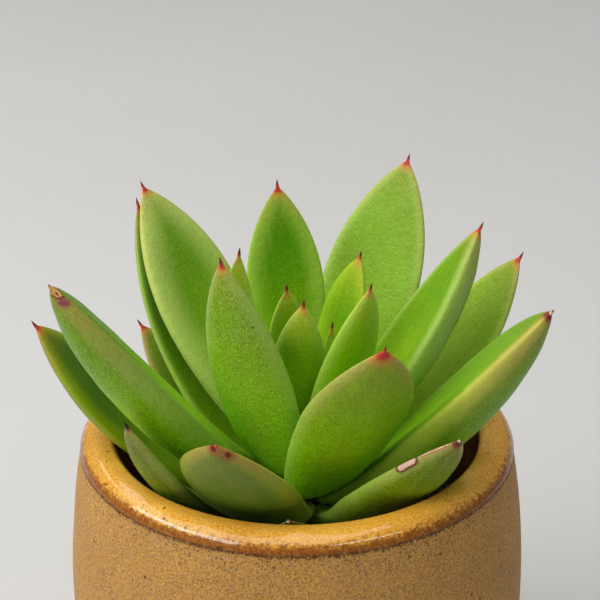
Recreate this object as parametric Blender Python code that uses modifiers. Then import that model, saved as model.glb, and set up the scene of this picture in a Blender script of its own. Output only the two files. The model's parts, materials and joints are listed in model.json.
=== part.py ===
"""Echeveria rosette in a round stoneware pot.

The origin is the middle of the pot's flat base, +Z is up and the front is -Y.
The rosette grows on a short stem that leans a little forward, and its leaves follow the
golden angle from the youngest, at the growing point, to the oldest, low on the stem.
"""

from math import cos, exp, pi, radians, sin

import bmesh
import bpy
from mathutils import Vector

MM = 0.001

# Pot
POT_HEIGHT = 80.0
BASE_RADIUS = 35.0        # flat face that the pot stands on
BASE_ROUNDING = 3.0
FOOT_SPLAY = 23.5         # degrees that the body leans outwards where it leaves the base
BELLY_RADIUS = 46.3       # widest place of the body
BELLY_BELOW_RIM = 35.0
NECK_RADIUS = 43.5        # where the body meets the lip
NECK_BELOW_RIM = 3.4
LIP_CROWN_RADIUS = 39.5   # highest line of the lip
LIP_INNER_ROUNDING = 1.6
CAVITY_RADIUS = 36.5
CAVITY_FLOOR = 8.0
CAVITY_FLOOR_RADIUS = 28.0
POT_STEPS = 48            # the soil has as many, so that the two run side by side

# Soil
SOIL_BELOW_RIM = 24.0     # by the stem
SOIL_RISE = 4.0           # how much higher it lies against the pot
FIT_GAP = 0.3             # clearance between pieces that touch

# Stem and rosette
STEM_LEAN = 10.0          # degrees forward, towards -Y
ROSETTE_BACK = 3.0        # the stem comes out of the soil this far behind the middle
ROSETTE_BELOW_RIM = 21.0  # height of the oldest leaves' seats
STEM_RADIUS = 6.5
STEM_TOP_RADIUS = 1.8
STEM_TOP = 27.0
ROOT_LENGTH = 16.0
ROOT_RADIUS = 5.5
STEM_STEPS = 20

GOLDEN_ANGLE = 137.5
FIRST_TURN = 349.0        # direction of the youngest free leaf, from +X towards +Y

# Leaf form shared by every leaf
POINT_LENGTH = 1.6        # thin dark point at the tip
POINT_HALF_WIDTH = 0.35
POINT_THICKNESS = 0.6
UPPER_SHARE = 0.3         # share of the thickness above the line through the margins
CUP_SHARE = 0.25          # how deep the upper face is hollowed, as a share of the thickness
FOOT_BEND = 25.0          # the foot leaves the stem this much flatter than the blade rises
FOOT_BEND_REACH = 0.1     # share of the length in which that bend dies away
LEAF_AROUND = 12
LEAF_ALONG = 13
SPINE_STEPS = 60

# The leaves, youngest first. order counts along the golden-angle spiral and turn is how far the
# leaf has been pushed off it. seat is the height of its foot on the stem, rise its climb from the
# plane across the stem, lean its tilt to the side and curl how much it bends up along its length.
LEAVES = [
    dict(name="leaf_00_bud_right", order=0, turn=1, seat=25.3, rise=82.5, lean=-7, length=24.5,
         width=7, roll=-20),
    dict(name="leaf_01_bud_back", order=1, turn=-14, seat=24.6, rise=95.5, lean=3, length=30,
         width=8),
    dict(name="leaf_02_bud_front", order=2, turn=0, seat=24, rise=84, lean=4, length=34.5,
         width=10.5, widest=0.5),
    dict(name="leaf_03_inner_back_right", order=3, turn=0, seat=22.8, rise=74.5, lean=-3, length=36,
         width=11),
    dict(name="leaf_04_inner_left", order=4, turn=-9, seat=22, rise=75.5, lean=-6, length=39.5,
         width=7, curl=30, roll=-70),
    dict(name="leaf_05_inner_right", order=5, turn=-5, seat=20, rise=76, lean=4, length=45.5,
         width=14.5, widest=0.5),
    dict(name="leaf_06_back", order=6, turn=0, seat=19.5, rise=70.5, lean=3, length=48.5,
         width=15.5),
    dict(name="leaf_07_front_left", order=7, turn=6, seat=15.5, rise=80, lean=-6, length=56,
         width=19, widest=0.42, foot_width=12),
    dict(name="leaf_08_right", order=8, turn=0, seat=17.3, rise=57.5, lean=3, length=56.5,
         width=17, thick=9, widest=0.42, curl=8),
    dict(name="leaf_09_back_left", order=9, turn=0, seat=16.3, rise=54.5, lean=-7, length=57.5,
         width=22, curl=-8),
    dict(name="leaf_10_front", order=10, turn=2, seat=10.9, rise=65.5, lean=9, length=56,
         width=22, thick=7, widest=0.64, curl=10, foot_width=9.5),
    dict(name="leaf_11_back_right", order=11, turn=0, seat=14.2, rise=53, lean=-3, length=61,
         width=21, curl=15),
    dict(name="leaf_12_left", order=12, turn=6, seat=11.2, rise=57, lean=0, length=73.5,
         width=20, thick=12, widest=0.66, curl=-2, roll=5),
    dict(name="leaf_13_right_front", order=13, turn=-3, seat=7.5, rise=55.5, lean=2, length=72.5,
         width=20, thick=12, widest=0.64, curl=-3, roll=2),
    dict(name="leaf_14_low_back", order=14, turn=-12, seat=11, rise=28, lean=0, length=41,
         width=15),
    dict(name="leaf_15_front_blunt", order=15, turn=0, seat=7.4, rise=49.5, lean=-2, length=53.5,
         width=23, thick=7.5, widest=0.64, curl=20, foot_width=12),
    dict(name="leaf_16_right_back", order=16, turn=0, seat=5.8, rise=47.5, lean=-7, length=62,
         width=18, curl=22),
    dict(name="leaf_17_left_back", order=17, turn=-10, seat=8.8, rise=51, lean=-17, length=61,
         width=17, thick=4.8, curl=20),
    dict(name="leaf_18_low_right_front", order=18, turn=0, seat=4.2, rise=48.5, lean=8, length=55,
         width=16.5, thick=6, curl=12, roll=-15, foot_width=5),
    dict(name="leaf_19_low_back_right", order=19, turn=-4, seat=3.5, rise=30, lean=0, length=41,
         width=14),
    dict(name="leaf_20_low_left_front", order=20, turn=-4, seat=1.5, rise=49, lean=5, length=56,
         width=13.5, thick=5.5, curl=30, roll=6, foot_width=7),
    dict(name="leaf_21_low_right", order=21, turn=-3, seat=2, rise=32, lean=0, length=29,
         width=11),
    dict(name="leaf_22_low_back_left", order=22, turn=12, seat=2.5, rise=39.5, lean=-4, length=43,
         width=13),
    dict(name="leaf_23_low_front", order=23, turn=5, seat=0.9, rise=44, lean=-9, length=40,
         width=10, thick=2.4, curl=15),
    dict(name="leaf_24_low_right_back", order=24, turn=-6, seat=0.4, rise=33, lean=0, length=36,
         width=12),
    dict(name="leaf_25_low_left", order=25, turn=-1, seat=5.8, rise=42.5, lean=-5, length=61,
         width=20, thick=6.5, widest=0.6, curl=20, roll=-5, foot_width=7),
]

# Heart: the leaves still closed round the growing point
HEART_LEAVES = 4
HEART_LENGTH = 15.0
HEART_WIDTH = 4.0
HEART_SEAT = 28.0
HEART_CORE_RADIUS = 1.5
HEART_RISE = 84.0


def clear_scene():
    for obj in list(bpy.data.objects):
        bpy.data.objects.remove(obj, do_unlink=True)


def new_collection(name):
    collection = bpy.data.collections.new(name)
    bpy.context.scene.collection.children.link(collection)
    return collection


def new_material(name, colour, roughness, metallic=0.0):
    material = bpy.data.materials.new(name)
    material.use_nodes = True
    shader = material.node_tree.nodes["Principled BSDF"]
    shader.inputs["Base Color"].default_value = (*colour, 1.0)
    shader.inputs["Roughness"].default_value = roughness
    shader.inputs["Metallic"].default_value = metallic
    return material


def add_object(name, mesh, collection, material):
    obj = bpy.data.objects.new(name, mesh)
    collection.objects.link(obj)
    mesh.materials.append(material)
    return obj


def arc(centre_x, centre_z, radius_x, radius_z, start, end, count):
    """Points of an elliptic arc, in degrees from +X towards +Z."""
    points = []
    for i in range(count):
        angle = radians(start + (end - start) * i / (count - 1))
        points.append((centre_x + radius_x * cos(angle), centre_z + radius_z * sin(angle)))
    return points


def turned(name, profile, steps, collection, material):
    """A profile of (radius, height) in millimetres, turned round Z. Its outer side runs downwards."""
    mesh = bpy.data.meshes.new(name)
    points = [(x * MM, 0.0, z * MM) for x, z in profile]
    mesh.from_pydata(points, [(i, i + 1) for i in range(len(points) - 1)], [])
    obj = add_object(name, mesh, collection, material)
    screw = obj.modifiers.new("Turn", "SCREW")
    screw.steps = steps
    screw.render_steps = steps
    screw.use_merge_vertices = True
    screw.merge_threshold = 0.00001
    screw.use_smooth_shade = True
    return obj


def foot_of_body():
    """Radius and height at which the body runs smoothly into the rounding of the base."""
    splay = radians(FOOT_SPLAY)
    return BASE_RADIUS + BASE_ROUNDING * cos(splay), BASE_ROUNDING * (1 - sin(splay))


def body_radius(height):
    """Outer radius of the pot's body: one bulge from the base to the neck, widest at the belly."""
    foot_radius, foot_height = foot_of_body()
    belly = POT_HEIGHT - BELLY_BELOW_RIM
    if height > belly:
        share = (height - belly) / (BELLY_BELOW_RIM - NECK_BELOW_RIM)
        return BELLY_RADIUS - (BELLY_RADIUS - NECK_RADIUS) * share ** 2
    share = (belly - height) / (belly - foot_height)
    return BELLY_RADIUS - (BELLY_RADIUS - foot_radius) * share ** 2.2


def make_pot(collection, material):
    rim = POT_HEIGHT
    lip_outer = arc(LIP_CROWN_RADIUS, rim - NECK_BELOW_RIM, NECK_RADIUS - LIP_CROWN_RADIUS,
                    NECK_BELOW_RIM, 90, 0, 7)
    lip_inner = arc(CAVITY_RADIUS + LIP_INNER_ROUNDING, rim - LIP_INNER_ROUNDING - 0.1,
                    LIP_INNER_ROUNDING, LIP_INNER_ROUNDING, 180, 100, 4)
    floor_corner = arc(CAVITY_FLOOR_RADIUS, CAVITY_FLOOR + 8, CAVITY_RADIUS - CAVITY_FLOOR_RADIUS, 8,
                       -90, 0, 5)
    base_corner = arc(BASE_RADIUS, BASE_ROUNDING, BASE_ROUNDING, BASE_ROUNDING, -FOOT_SPLAY, -90, 4)
    top, bottom = rim - NECK_BELOW_RIM, foot_of_body()[1]
    heights = [top + (bottom - top) * i / 10 for i in range(1, 10)]
    body = [(body_radius(z), z) for z in heights]
    profile = [(0, CAVITY_FLOOR)] + floor_corner + lip_inner + lip_outer + body + base_corner + [(0, 0)]
    return turned("pot", profile, POT_STEPS, collection, material)


def soil_height(radius):
    """Height of the soil above the base: level round the stem, higher against the pot."""
    share = min(1.0, radius / CAVITY_RADIUS)
    return POT_HEIGHT - SOIL_BELOW_RIM + SOIL_RISE * share ** 2


def make_soil(collection, material, hole):
    edge = CAVITY_RADIUS - FIT_GAP
    floor = CAVITY_FLOOR + FIT_GAP
    top = [(edge * share, soil_height(edge * share)) for share in (0, 0.25, 0.5, 0.7, 0.85, 1)]
    corner = arc(CAVITY_FLOOR_RADIUS, floor + 8, edge - CAVITY_FLOOR_RADIUS, 8, 0, -90, 4)
    soil = turned("soil", top + corner + [(0, floor)], POT_STEPS, collection, material)
    cut = soil.modifiers.new("Stem hole", "BOOLEAN")
    cut.operation = "DIFFERENCE"
    cut.object = hole
    return soil


def stem_radius(height):
    """Radius of the stem at a height above the oldest leaves' seats."""
    share = max(0.0, min(1.0, height / STEM_TOP))
    return STEM_RADIUS - (STEM_RADIUS - STEM_TOP_RADIUS) * share ** 1.3


def make_stem(collection, material, frame):
    shoulder = -1.5
    shaft = [(stem_radius(STEM_TOP * share), STEM_TOP * share)
             for share in (1, 0.8, 0.6, 0.4, 0.2, 0)]
    root = [(ROOT_RADIUS, shoulder), (ROOT_RADIUS, 2 - ROOT_LENGTH), (ROOT_RADIUS - 2, -ROOT_LENGTH)]
    profile = [(0, STEM_TOP)] + shaft + root + [(0, -ROOT_LENGTH)]
    stem = turned("stem", profile, STEM_STEPS, collection, material)
    stem.parent = frame
    return stem


def make_stem_hole(collection, frame):
    """The plain round hole that the root stands in."""
    above = 10.0
    length = ROOT_LENGTH + FIT_GAP + above
    mesh = bpy.data.meshes.new("stem_hole")
    shape = bmesh.new()
    bmesh.ops.create_cone(shape, cap_ends=True, segments=STEM_STEPS, depth=length * MM,
                          radius1=(ROOT_RADIUS + FIT_GAP) * MM, radius2=(ROOT_RADIUS + FIT_GAP) * MM)
    bmesh.ops.translate(shape, verts=shape.verts, vec=(0, 0, (above - length / 2) * MM))
    shape.to_mesh(mesh)
    shape.free()
    hole = bpy.data.objects.new("stem_hole", mesh)
    collection.objects.link(hole)
    hole.parent = frame
    hole.hide_render = True
    hole.display_type = "WIRE"
    return hole


def half_width(share, leaf):
    """Half the leaf's width: a narrow foot, widest a little past the middle, and a pointed tip."""
    full, foot, widest = leaf["width"] / 2, leaf["foot_width"] / 2, leaf["widest"]
    if share < widest:
        return foot + (full - foot) * sin(pi / 2 * share / widest) ** 1.05
    along = (share - widest) / (1 - widest)
    return max(full * (1 - along ** 2) ** 0.85, POINT_HALF_WIDTH)


def thickness(share, leaf):
    """The leaf's thickness: it swells from the foot to just before the middle, then thins to the tip."""
    full, foot, thickest = leaf["thick"], leaf["foot_thick"], 0.45
    if share < thickest:
        return foot + (full - foot) * sin(pi / 2 * share / thickest)
    along = (share - thickest) / (1 - thickest)
    return max(full * (1 - along ** 2.4) ** 0.8, POINT_THICKNESS)


def section(half, thick, cup, keel, count):
    """Points round the leaf: across it, and from its flat or hollow upper face to its round lower one."""
    points = []
    for k in range(count):
        angle = 2 * pi * k / count
        c, s = cos(angle), sin(angle)
        across = half * (1 if c > 0 else -1) * abs(c) ** 0.9
        if s >= 0:
            hollow = cup * (1 - (across / half) ** 2) if s > 0 else 0.0
            points.append((across, thick * UPPER_SHARE * s ** 0.9 - hollow))
        else:
            points.append((across, -thick * (1 - UPPER_SHARE) * abs(s) ** (1 + 0.35 * keel)))
    return points


def spine(leaf):
    """Points and directions along the middle of the leaf. X is outwards, Y across and Z up the stem."""
    rise, lean, curl = radians(leaf["rise"]), radians(leaf["lean"]), radians(leaf["curl"])
    foot_rise = rise - radians(FOOT_BEND)
    points, ways = [Vector((0, 0, 0))], []
    for i in range(SPINE_STEPS):
        share = (i + 0.5) / SPINE_STEPS
        bend = exp(-share / FOOT_BEND_REACH)
        climb = rise + (foot_rise - rise) * bend + curl * (share - 0.35)
        side = lean * (1 - bend)
        way = Vector((cos(side) * cos(climb), sin(side), cos(side) * sin(climb)))
        ways.append(way)
        points.append(points[-1] + way * leaf["length"] / SPINE_STEPS)
    ways.append(ways[-1])
    return points, ways


def leaf_rings(leaf, around, along):
    """Rings of points from the foot to the tip, and the end of the thin point beyond them."""
    points, ways = spine(leaf)
    rings = []
    for i in range(along):
        even = i / (along - 1)
        share = 0.5 * even + 0.25 * (1 - cos(pi * even))
        place = share * SPINE_STEPS
        k = min(int(place), SPINE_STEPS - 1)
        centre = points[k].lerp(points[k + 1], place - k)
        way = ways[k]
        across = (Vector((0, 1, 0)) - way * way.y).normalized()
        upper = across.cross(way) * -1
        if upper.z - upper.x < 0:
            upper = -upper
        roll = radians(leaf["roll"]) * min(1.0, share / 0.4)
        rolled_across = across * cos(roll) + upper * sin(roll)
        rolled_upper = upper * cos(roll) - across * sin(roll)
        thick = thickness(share, leaf)
        outline = section(half_width(share, leaf), thick, CUP_SHARE * thick * sin(pi * share), share, around)
        rings.append([centre + rolled_across * x + rolled_upper * z for x, z in outline])
    return rings, points[-1] + ways[-1] * POINT_LENGTH


def leaf_mesh(leaf, around=LEAF_AROUND, along=LEAF_ALONG):
    """One closed leaf: a loft through its rings, a flat foot and a point at the tip."""
    rings, end = leaf_rings(leaf, around, along)
    shape = bmesh.new()
    loops = [[shape.verts.new(point * MM) for point in ring] for ring in rings]
    for lower, upper in zip(loops, loops[1:]):
        for k in range(around):
            m = (k + 1) % around
            shape.faces.new((lower[k], lower[m], upper[m], upper[k]))
    shape.faces.new(loops[0])
    tip = shape.verts.new(end * MM)
    for k in range(around):
        shape.faces.new((loops[-1][k], loops[-1][(k + 1) % around], tip))
    bmesh.ops.triangulate(shape, faces=shape.faces)
    bmesh.ops.recalc_face_normals(shape, faces=shape.faces)
    mesh = bpy.data.meshes.new(leaf["name"])
    shape.to_mesh(mesh)
    shape.free()
    mesh.shade_smooth()
    return mesh


def full_leaf(given):
    """The leaf's own values, with the rest worked out from its width."""
    leaf = dict(curl=0, roll=0, lean=0, widest=0.56)
    leaf.update(given)
    leaf.setdefault("thick", 0.32 * leaf["width"])
    leaf.setdefault("foot_width", min(8.0, 0.5 * leaf["width"] + 1.5))
    leaf.setdefault("foot_thick", min(3.2, 0.5 * leaf["thick"] + 0.6))
    return leaf


def place_leaf(obj, leaf, frame):
    """Seats the leaf's foot on the stem, a fit gap clear of it, and turns it outwards."""
    turn = radians(FIRST_TURN + GOLDEN_ANGLE * leaf["order"] + leaf["turn"])
    foot_climb = max(0.0, sin(radians(leaf["rise"] - FOOT_BEND)))
    wide = stem_radius(leaf["seat"] - leaf["foot_thick"] / 2)
    out = wide + FIT_GAP + 0.25 * leaf["foot_thick"] * foot_climb
    obj.location = (out * cos(turn) * MM, out * sin(turn) * MM, leaf["seat"] * MM)
    obj.rotation_euler = (0, 0, turn)
    obj.parent = frame


def make_leaves(collection, material, frame):
    for given in LEAVES:
        leaf = full_leaf(given)
        place_leaf(add_object(leaf["name"], leaf_mesh(leaf), collection, material), leaf, frame)


def make_heart(collection, material, frame):
    """The closed inner leaves and the small core that they grow from, joined as one body."""
    pieces = new_collection("heart_pieces")
    mesh = bpy.data.meshes.new("heart")
    shape = bmesh.new()
    bmesh.ops.create_uvsphere(shape, u_segments=10, v_segments=6, radius=HEART_CORE_RADIUS * MM)
    shape.to_mesh(mesh)
    shape.free()
    mesh.shade_smooth()
    heart = add_object("heart", mesh, collection, material)
    heart.location = (0, 0, (HEART_SEAT + HEART_CORE_RADIUS - 0.7) * MM)
    heart.parent = frame
    for i in range(1, HEART_LEAVES + 1):
        smaller = 1 - 0.16 * (i - 1)
        leaf = full_leaf(dict(name=f"heart_leaf_{i}", rise=HEART_RISE, width=HEART_WIDTH * smaller,
                              length=HEART_LENGTH * smaller, thick=1.3, foot_width=2.0, foot_thick=1.2))
        turn = radians(FIRST_TURN - GOLDEN_ANGLE * i)
        obj = add_object(leaf["name"], leaf_mesh(leaf, 8, 8), pieces, material)
        obj.location = (0.5 * cos(turn) * MM, 0.5 * sin(turn) * MM, HEART_SEAT * MM)
        obj.rotation_euler = (0, 0, turn)
        obj.parent = frame
    join = heart.modifiers.new("Join", "BOOLEAN")
    join.operation = "UNION"
    join.operand_type = "COLLECTION"
    join.collection = pieces
    bpy.context.view_layer.update()
    graph = bpy.context.evaluated_depsgraph_get()
    joined = bpy.data.meshes.new_from_object(heart.evaluated_get(graph))
    heart.modifiers.clear()
    heart.data = joined
    for obj in list(pieces.objects):
        bpy.data.objects.remove(obj, do_unlink=True)
    bpy.data.collections.remove(pieces)


def main():
    clear_scene()
    plant = new_collection("potted_echeveria")
    cutters = new_collection("cutters")

    frame = bpy.data.objects.new("rosette_frame", None)
    plant.objects.link(frame)
    frame.location = (0, ROSETTE_BACK * MM, (POT_HEIGHT - ROSETTE_BELOW_RIM) * MM)
    frame.rotation_euler = (radians(STEM_LEAN), 0, 0)

    stoneware = new_material("stoneware_glaze", (0.45, 0.25, 0.07), 0.35)
    potting_mix = new_material("potting_mix", (0.035, 0.024, 0.017), 0.95)
    bark = new_material("stem_skin", (0.25, 0.22, 0.08), 0.7)
    leaf_skin = new_material("leaf_skin", (0.14, 0.36, 0.03), 0.45)
    young_skin = new_material("young_leaf_skin", (0.25, 0.45, 0.05), 0.45)

    make_pot(plant, stoneware)
    make_soil(plant, potting_mix, make_stem_hole(cutters, frame))
    make_stem(plant, bark, frame)
    make_leaves(plant, leaf_skin, frame)
    make_heart(plant, young_skin, frame)


main()
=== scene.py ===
import json
from math import cos, exp, pi, radians, sin

import bmesh
import bpy
from mathutils import Matrix, Vector, noise
from mathutils.bvhtree import BVHTree

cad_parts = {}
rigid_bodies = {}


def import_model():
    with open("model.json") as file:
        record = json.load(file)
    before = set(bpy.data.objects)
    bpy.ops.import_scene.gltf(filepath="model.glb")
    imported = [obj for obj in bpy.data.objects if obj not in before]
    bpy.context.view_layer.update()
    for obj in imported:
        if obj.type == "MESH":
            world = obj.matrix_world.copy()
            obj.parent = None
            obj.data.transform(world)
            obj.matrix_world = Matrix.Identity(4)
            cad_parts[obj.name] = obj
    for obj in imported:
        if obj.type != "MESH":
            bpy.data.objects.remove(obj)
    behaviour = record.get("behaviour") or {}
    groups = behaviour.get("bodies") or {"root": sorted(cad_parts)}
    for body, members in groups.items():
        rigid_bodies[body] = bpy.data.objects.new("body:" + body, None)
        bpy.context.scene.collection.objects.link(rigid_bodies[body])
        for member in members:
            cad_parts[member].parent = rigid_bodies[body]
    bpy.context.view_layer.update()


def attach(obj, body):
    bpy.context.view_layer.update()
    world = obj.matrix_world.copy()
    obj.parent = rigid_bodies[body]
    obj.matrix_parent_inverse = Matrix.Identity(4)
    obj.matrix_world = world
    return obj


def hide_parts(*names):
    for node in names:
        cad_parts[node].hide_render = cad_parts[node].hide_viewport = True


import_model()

mm = 0.001
scene = bpy.context.scene
imageSide = 600  # pixels, the side of the picture that the camera is set for


# small helpers for meshes

def smoothStep(value, low, high):
    share = max(0, min(1, (value - low) / (high - low)))
    return share * share * (3 - 2 * share)


def wobble(place, size, seed=0):
    # smooth -1 to 1 noise with features about size across, the same on every run
    return noise.noise(Vector(place) / size + Vector((seed * 7.3, seed * 3.1, seed * 5.7)))


def newObject(name, data):
    item = bpy.data.objects.new(name, data)
    scene.collection.objects.link(item)
    return item


def meshFrom(name, points, faces):
    mesh = bpy.data.meshes.new(name)
    mesh.from_pydata([tuple(point) for point in points], [], faces)
    mesh.validate()
    mesh.update()
    mesh.shade_smooth()
    return mesh


def meshFromShape(name, shape):
    mesh = bpy.data.meshes.new(name)
    shape.to_mesh(mesh)
    shape.free()
    return mesh


def closedTube(name, rings, start, finish, turned=False):
    # a skin over rings of points in mm, with a fan at each end. turned makes its faces look the other way.
    around, last = len(rings[0]), (len(rings) - 1) * len(rings[0])
    points = [point * mm for ring in rings for point in ring] + [start * mm, finish * mm]
    pairs = [(k, (k + 1) % around) for k in range(around)]
    faces = [(i + a, i + around + a, i + around + b, i + b) for i in range(0, last, around) for a, b in pairs]
    faces += [(a, b, len(points) - 2) for a, b in pairs]
    faces += [(last + b, last + a, len(points) - 1) for a, b in pairs]
    if turned:
        faces = [(face[0], *face[:0:-1]) for face in faces]
    return meshFrom(name, points, faces)


def lathe(name, profile, around, shift):
    # turns (radius, height) points in mm round Z and moves each by shift. Both ends are on the axis.
    turns = [2 * pi * k / around for k in range(around)]
    rings = [[shift(Vector((radius * cos(turn), radius * sin(turn), height))) for turn in turns]
             for radius, height in profile[1:-1]]
    start, finish = [shift(Vector((0, 0, profile[i][1]))) for i in (0, -1)]
    return closedTube(name, rings, start, finish)


def arc(centreX, centreZ, radiusX, radiusZ, start, end, count):
    # (radius, height) points round part of an ellipse
    angles = [radians(start + (end - start) * i / (count - 1)) for i in range(count)]
    return [(centreX + radiusX * cos(angle), centreZ + radiusZ * sin(angle)) for angle in angles]


def addPiece(name, mesh, material, matrix=Matrix.Identity(4)):
    # the place goes into the mesh, so the object itself sits at the origin
    mesh.transform(matrix)
    mesh.materials.append(material)
    return newObject(name, mesh)


def applyModifiers(piece):
    bpy.context.view_layer.update()
    piece.data = bpy.data.meshes.new_from_object(piece.evaluated_get(bpy.context.evaluated_depsgraph_get()))
    piece.modifiers.clear()


# small helpers for shader nodes. Each node goes into the tree of the first socket that feeds it.

def paint(*colour):
    # a colour as a paint program shows it, 0 to 255, turned into the linear one that shaders use
    parts = [part / 255 for part in colour]
    return (*[part / 12.92 if part <= 0.04045 else ((part + 0.055) / 1.055) ** 2.4 for part in parts], 1)


def fill(node, values):
    # keys are an input's number, or its name as one word: baseColor sets Base Color
    named = {socket.name.replace(" ", "").lower(): socket for socket in node.inputs}
    for key, value in values.items():
        socket = node.inputs[key] if isinstance(key, int) else named[key.lower()]
        if isinstance(value, bpy.types.NodeSocket):
            node.id_data.links.new(value, socket)
        else:
            socket.default_value = value
    return node


def addNode(kind, values, **settings):
    tree = next(value for value in values.values() if isinstance(value, bpy.types.NodeSocket)).id_data
    node = tree.nodes.new("ShaderNode" + kind)
    for key, value in settings.items():
        setattr(node, key, value)
    return fill(node, values)


def calc(operation, *values, clamp=False):
    return addNode("Math", dict(enumerate(values)), operation=operation, use_clamp=clamp).outputs[0]


def minus(a, b):
    return calc("SUBTRACT", a, b)


def times(value, *others):
    for other in others:
        value = calc("MULTIPLY", value, other)
    return value


def vectorCalc(operation, *values):
    node = addNode("VectorMath", dict(enumerate(values)), operation=operation)
    return node.outputs["Value" if operation in ("DOT_PRODUCT", "LENGTH") else "Vector"]


def remap(value, low, high, toLow=0, toHigh=1):
    return addNode("MapRange", dict(enumerate((value, low, high, toLow, toHigh))),
                   interpolation_type="SMOOTHSTEP").outputs[0]


def tint(colour, other, *shares):
    # lays the other colour over the first, by all the shares multiplied. Plain colours are 0 to 255.
    first, second = [paint(*value) if isinstance(value, tuple) else value for value in (colour, other)]
    return addNode("Mix", {0: times(*shares), 6: first, 7: second}, data_type="RGBA").outputs[2]


def layered(look, colour, *layers):
    # each layer is the name of a colour in look, and the shares that lay it over those before
    for name, *shares in layers:
        colour = tint(colour, look[name], *shares)
    return colour


def mixValue(share, first, second):
    return addNode("Mix", {0: share, 2: first, 3: second}, data_type="FLOAT").outputs[0]


def noiseAt(spot, scale, detail, roughness, distortion=0):
    return addNode("TexNoise", dict(vector=spot, scale=scale, detail=detail, roughness=roughness,
                                    distortion=distortion)).outputs[0]


def bump(height, strength, distance, below=None):
    values = dict(height=height, strength=strength, distance=distance)
    if below is not None:
        values["normal"] = below
    return addNode("Bump", values).outputs[0]


def newMaterial(name):
    # gives the material, its shader, and the place on the piece, where every pattern starts
    material = bpy.data.materials.new(name)
    material.use_nodes = True
    nodes = material.node_tree.nodes
    return material, nodes["Principled BSDF"], nodes.new("ShaderNodeTexCoord").outputs["Object"]


def meshValue(material, name):
    # a number that the mesh carries at each of its points
    node = material.node_tree.nodes.new("ShaderNodeAttribute")
    node.attribute_name = name
    return node.outputs["Fac"]


def newGroup(name, **inputs):
    # inputs are names and first values: three numbers make a vector. Every group starts from a place.
    group = bpy.data.node_groups.new(name, "ShaderNodeTree")
    for label, value in dict(inputs, place=(0, 0, 0)).items():
        kind = "NodeSocketVector" if isinstance(value, tuple) else "NodeSocketFloat"
        group.interface.new_socket(name=label, in_out="INPUT", socket_type=kind).default_value = value
    return group.nodes.new("NodeGroupInput").outputs


def closeGroup(**results):
    group = next(iter(results.values())).id_data
    for label in results:
        group.interface.new_socket(name=label, in_out="OUTPUT", socket_type="NodeSocketFloat")
    fill(group.nodes.new("NodeGroupOutput"), results)
    return group


def useGroup(group, spot, **values):
    return addNode("Group", dict(values, place=spot), node_tree=group).outputs


# shader groups that several materials share

def makeMottle():
    # broad patches and fine grain, both 0 to 1
    given = newGroup("mottle", patchScale=80, grainScale=1500, contrast=0.18)
    spot, contrast = given["place"], given["contrast"]
    low, high = minus(0.5, contrast), calc("ADD", 0.5, contrast)
    return closeGroup(patches=remap(noiseAt(spot, given["patchScale"], 4, 0.6, 0.6), low, high),
                      grain=remap(noiseAt(spot, given["grainScale"], 2, 0.6), low, high))


def splitCells(spot, scale):
    # cells scattered over the surface: the distance from a cell's middle, and chance values for each cell
    cells = addNode("TexVoronoi", dict(vector=spot, scale=scale))
    return cells.outputs["Distance"], addNode("SeparateColor", {0: cells.outputs["Color"]}).outputs


def makeSpecks():
    # scattered dots of uneven outline, a share of the cells holding one
    given = newGroup("specks", scale=2000, size=0.3, share=0.5)
    away, chance = splitCells(given["place"], given["scale"])
    ragged = noiseAt(given["place"], times(given["scale"], 2.2), 1, 0.5)
    away = calc("ADD", away, times(minus(ragged, 0.5), 0.5))
    size = times(given["size"], remap(chance[2], 0, 1, 0.6, 1.3))
    dot = remap(away, times(size, 0.5), size, 1, 0)
    return closeGroup(dots=times(dot, calc("LESS_THAN", chance[0], given["share"])))


def makeWaterCells():
    # the cells that show through a leaf's skin: a painted highlight, a glint, in the middle of a share of
    # them, and the darker net between them
    given = newGroup("water cells", scale=2900, share=0.5)
    away, chance = splitCells(given["place"], given["scale"])
    lit = remap(chance[0], minus(1, given["share"]), 1)
    return closeGroup(glint=times(remap(away, 0.15, 0.5, 1, 0), lit), net=remap(away, 0.3, 0.75))


def makeRaggedEdge():
    # 1 where distance is under width, with a stippled edge blend wide
    given = newGroup("ragged edge", distance=0, width=1, blend=0.5, breakScale=900, breakDepth=0.5)
    rough = noiseAt(given["place"], given["breakScale"], 3, 0.65)
    distance = calc("ADD", given["distance"], times(minus(rough, 0.5), given["breakDepth"], 4.0))
    low, high = minus(given["width"], given["blend"]), calc("ADD", given["width"], given["blend"])
    return closeGroup(mask=remap(distance, low, high, 1, 0))


def makeScar():
    # a corky mark along the line from start to finish, and the darker ring round it
    given = newGroup("scar", start=(0, 0, 0), finish=(0, 0, 0), radius=0.001, ringWidth=0.0004,
                     unevenness=0.0005)
    spot, radius, ringWidth = given["place"], given["radius"], given["ringWidth"]
    way = vectorCalc("SUBTRACT", given["finish"], given["start"])
    offset = vectorCalc("SUBTRACT", spot, given["start"])
    length = calc("MAXIMUM", vectorCalc("DOT_PRODUCT", way, way), 1e-9)
    share = calc("DIVIDE", vectorCalc("DOT_PRODUCT", offset, way), length, clamp=True)
    away = vectorCalc("LENGTH", vectorCalc("SUBTRACT", offset, vectorCalc("MULTIPLY", way, share)))
    uneven = minus(noiseAt(spot, 900, 3, 0.6), 0.5)
    away = calc("ADD", away, times(uneven, given["unevenness"]))
    inside = remap(away, minus(radius, times(ringWidth, 0.5)), radius, 1, 0)
    whole = remap(away, radius, calc("ADD", radius, ringWidth), 1, 0)
    return closeGroup(inside=inside, ring=calc("SUBTRACT", whole, inside, clamp=True))


mottle = makeMottle()
specks = makeSpecks()
waterCells = makeWaterCells()
raggedEdge = makeRaggedEdge()
scar = makeScar()
print("shader groups ready")


def mottled(spot, patchScale, grainScale, contrast):
    found = useGroup(mottle, spot, patchScale=patchScale, grainScale=grainScale, contrast=contrast)
    return found["patches"], found["grain"]


def dots(spot, scale, size, share):
    return useGroup(specks, spot, scale=scale, size=size, share=share)["dots"]


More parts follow.
